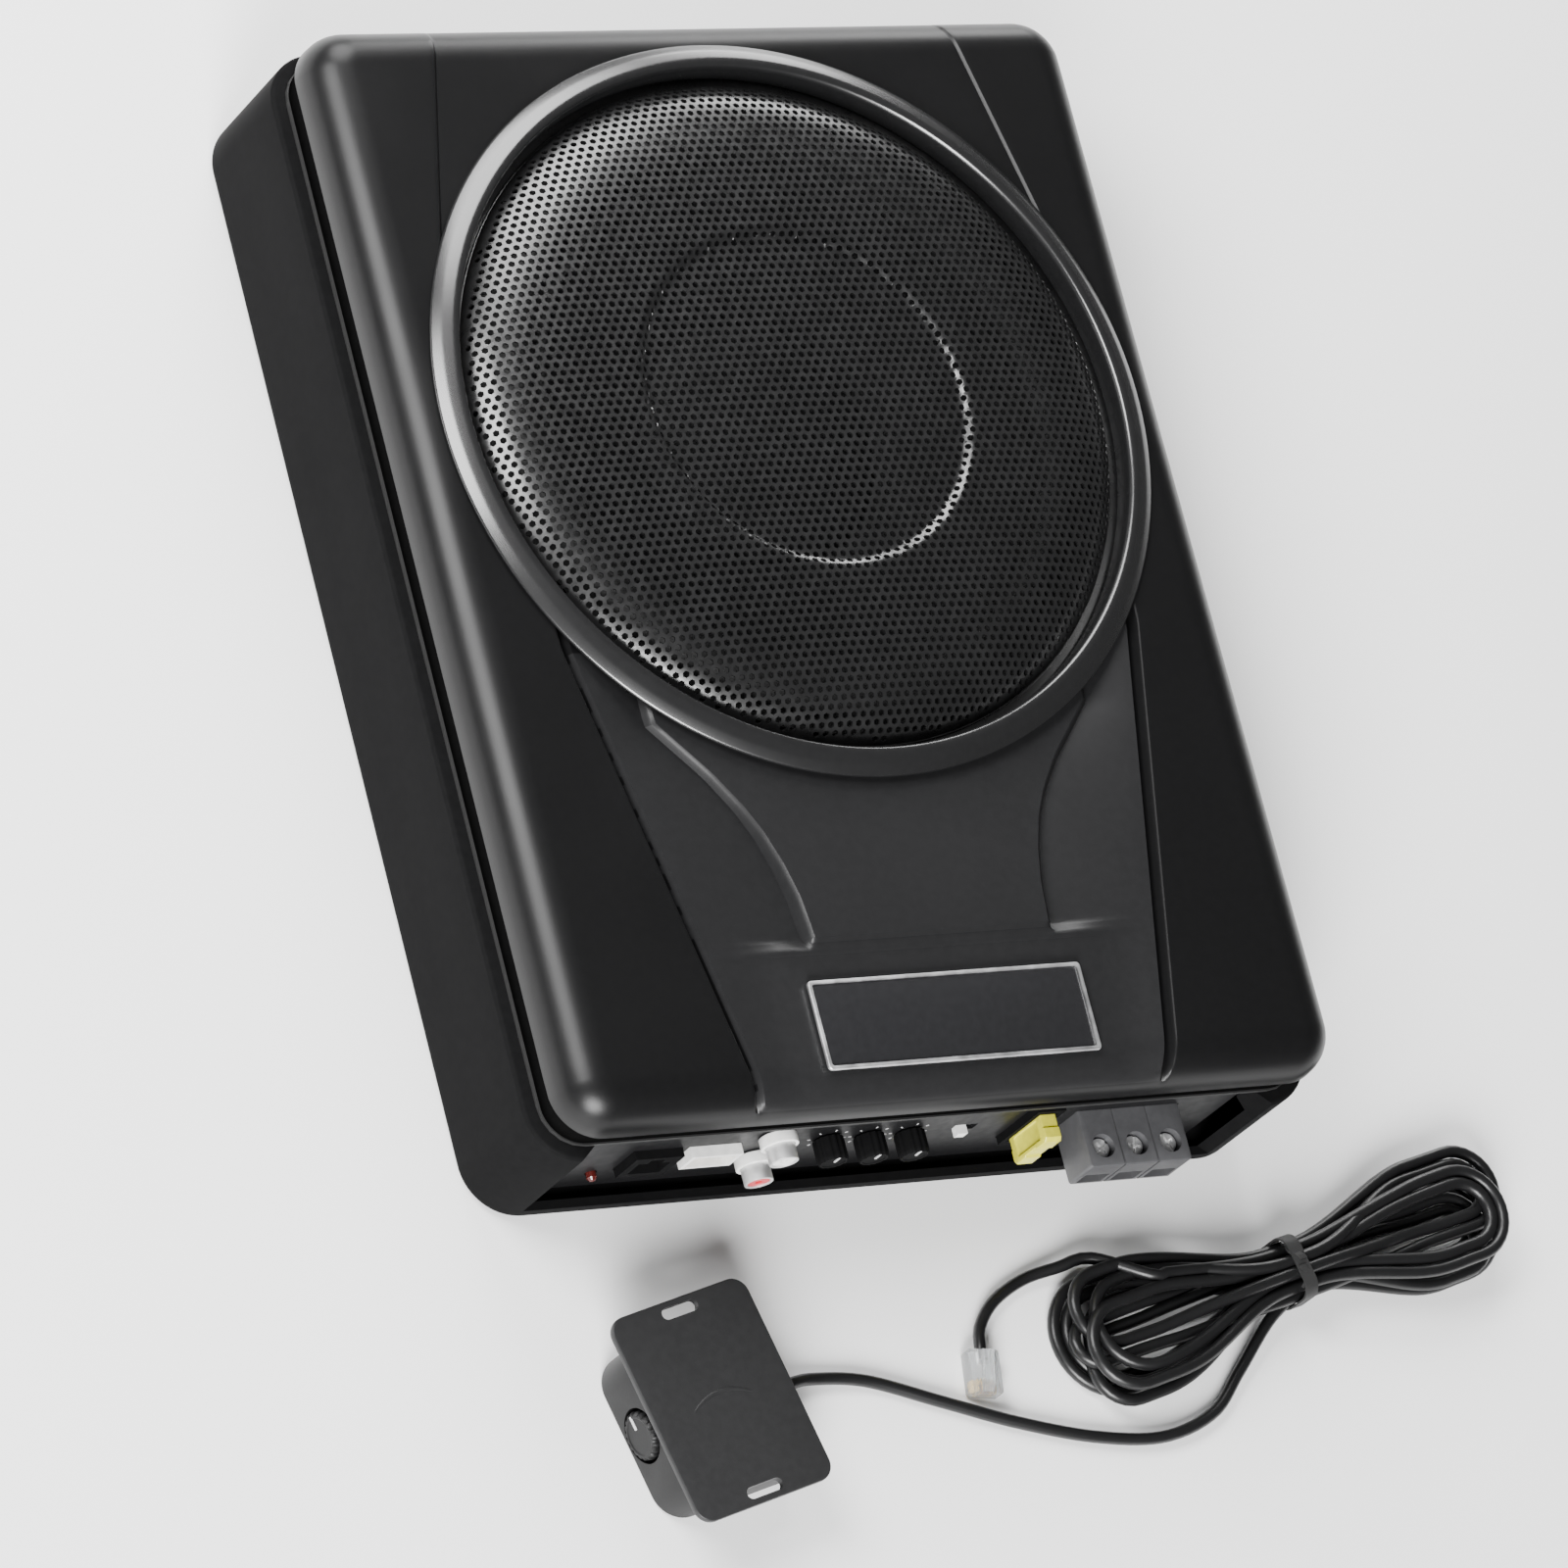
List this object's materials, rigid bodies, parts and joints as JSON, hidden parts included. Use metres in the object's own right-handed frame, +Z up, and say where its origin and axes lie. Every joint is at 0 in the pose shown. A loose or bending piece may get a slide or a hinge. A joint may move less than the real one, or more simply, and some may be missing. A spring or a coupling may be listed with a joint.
{
  "type": "powered car subwoofer",
  "caption": "Flat powered under-seat car subwoofer with a round domed grille, recessed connector panel and a wired level remote on a hank of cord.",
  "frame": {"origin": "centre of the tray's flat underside", "axes": "+Z up through the grille, -Y towards the connector panel, +X along the connector panel"},
  "size_m": [0.3298, 0.4289, 0.0775],
  "materials": {
    "black_abs": "moulded, fine texture",
    "cover_abs": "moulded, satin",
    "grille_steel": "black powder coat, perforated",
    "trim_satin": "satin dark grey",
    "badge_silver": "bright brushed",
    "rubber": "matt",
    "cone_paper": "pulp look",
    "spider_cloth": "resin-dipped cotton",
    "zinc_steel": "zinc plated",
    "black_steel": "black paint",
    "ferrite": "ground ferrite",
    "copper": "enamelled copper wire",
    "circuit_board": "solder mask",
    "aluminium": "extruded",
    "white_plastic": "moulded",
    "red_plastic": "moulded",
    "fuse_yellow": "translucent moulded",
    "terminal_grey": "moulded",
    "led_red": "diffused lens",
    "can_sleeve": "shrink sleeve",
    "cord_pvc": "soft jacket",
    "clear_plastic": "clear moulded"
  },
  "bodies": {
    "cabinet": {"base_tray": "black_abs", "top_cover": "cover_abs", "cover_gasket": "rubber", "badge_plate": "trim_satin", "badge_frame": "badge_silver", "trim_ring": "trim_satin", "grille": "grille_steel", "driver_basket": "black_steel", "cone_surround": "rubber", "spider": "spider_cloth", "motor_top_plate": "zinc_steel", "magnet": "ferrite", "motor_yoke": "zinc_steel", "control_panel": "black_steel", "gain_potentiometer": "terminal_grey", "crossover_potentiometer": "terminal_grey", "boost_potentiometer": "terminal_grey", "phase_switch_body": "zinc_steel", "rca_housing": "black_abs", "rca_white": "white_plastic", "rca_red": "red_plastic", "remote_jack": "black_abs", "high_level_socket": "white_plastic", "power_led": "led_red", "fuse_holder": "black_abs", "terminal_block": "terminal_grey", "amp_board": "circuit_board", "heat_sink": "aluminium", "choke_coil": "copper", "capacitor_1": "can_sleeve", "capacitor_2": "can_sleeve", "driver_screw_1": "zinc_steel", "cover_screw_1": "zinc_steel", "driver_screw_2": "zinc_steel", "cover_screw_2": "zinc_steel", "driver_screw_3": "zinc_steel", "cover_screw_3": "zinc_steel", "driver_screw_4": "zinc_steel", "cover_screw_4": "zinc_steel"},
    "cone_assembly": {"cone": "cone_paper", "dust_cap": "cone_paper", "coil_former": "aluminium", "voice_coil": "copper"},
    "gain_knob_body": {"gain_knob": "black_abs"},
    "crossover_knob_body": {"crossover_knob": "black_abs"},
    "boost_knob_body": {"boost_knob": "black_abs"},
    "phase_slider_body": {"phase_switch_slider": "white_plastic"},
    "fuse_body": {"fuse": "fuse_yellow"},
    "terminal_screw_body_1": {"terminal_screw_1": "zinc_steel"},
    "terminal_screw_body_2": {"terminal_screw_2": "zinc_steel"},
    "terminal_screw_body_3": {"terminal_screw_3": "zinc_steel"},
    "remote": {"remote_housing": "black_abs", "remote_mount_plate": "black_abs", "remote_cord": "cord_pvc", "cord_hank": "cord_pvc", "cord_tail": "cord_pvc", "cord_tie": "rubber", "modular_plug": "clear_plastic"},
    "remote_knob_body": {"remote_knob": "black_abs"}
  },
  "joints": [
    {"name": "cone_stroke", "type": "slide", "parent": "cabinet", "child": "cone_assembly", "axis": [0, 0, 1], "range_m": [-0.0045, 0.0045], "stiffness_N_per_m": 2200, "deforming": ["cone_surround", "spider"]},
    {"name": "gain_knob_turn", "type": "hinge", "parent": "cabinet", "child": "gain_knob_body", "pos_m": [-0.025, -0.16, 0.029], "axis": [0, -1, 0], "range_deg": [-140, 140]},
    {"name": "crossover_knob_turn", "type": "hinge", "parent": "cabinet", "child": "crossover_knob_body", "pos_m": [-0.012, -0.16, 0.029], "axis": [0, -1, 0], "range_deg": [-140, 140]},
    {"name": "boost_knob_turn", "type": "hinge", "parent": "cabinet", "child": "boost_knob_body", "pos_m": [0.001, -0.16, 0.029], "axis": [0, -1, 0], "range_deg": [-140, 140]},
    {"name": "phase_switch_slide", "type": "slide", "parent": "cabinet", "child": "phase_slider_body", "axis": [1, 0, 0], "range_m": [0, 0.003]},
    {"name": "fuse_pull", "type": "slide", "parent": "cabinet", "child": "fuse_body", "axis": [0, -1, 0], "range_m": [0, 0.018]},
    {"name": "terminal_screw_turn_1", "type": "hinge", "parent": "cabinet", "child": "terminal_screw_body_1", "pos_m": [0.0588, -0.1705, 0.027], "axis": [0, 0, 1], "continuous": true},
    {"name": "terminal_screw_turn_2", "type": "hinge", "parent": "cabinet", "child": "terminal_screw_body_2", "pos_m": [0.0698, -0.1705, 0.027], "axis": [0, 0, 1], "continuous": true},
    {"name": "terminal_screw_turn_3", "type": "hinge", "parent": "cabinet", "child": "terminal_screw_body_3", "pos_m": [0.0808, -0.1705, 0.027], "axis": [0, 0, 1], "continuous": true},
    {"name": "remote_lift", "type": "slide", "parent": "cabinet", "child": "remote", "axis": [0, 0, 1], "range_m": [0, 0.08]},
    {"name": "remote_knob_turn", "type": "hinge", "parent": "remote", "child": "remote_knob_body", "pos_m": [-0.073, -0.229, 0.00935], "axis": [-0.9744, -0.225, 0], "range_deg": [-140, 140]}
  ]
}
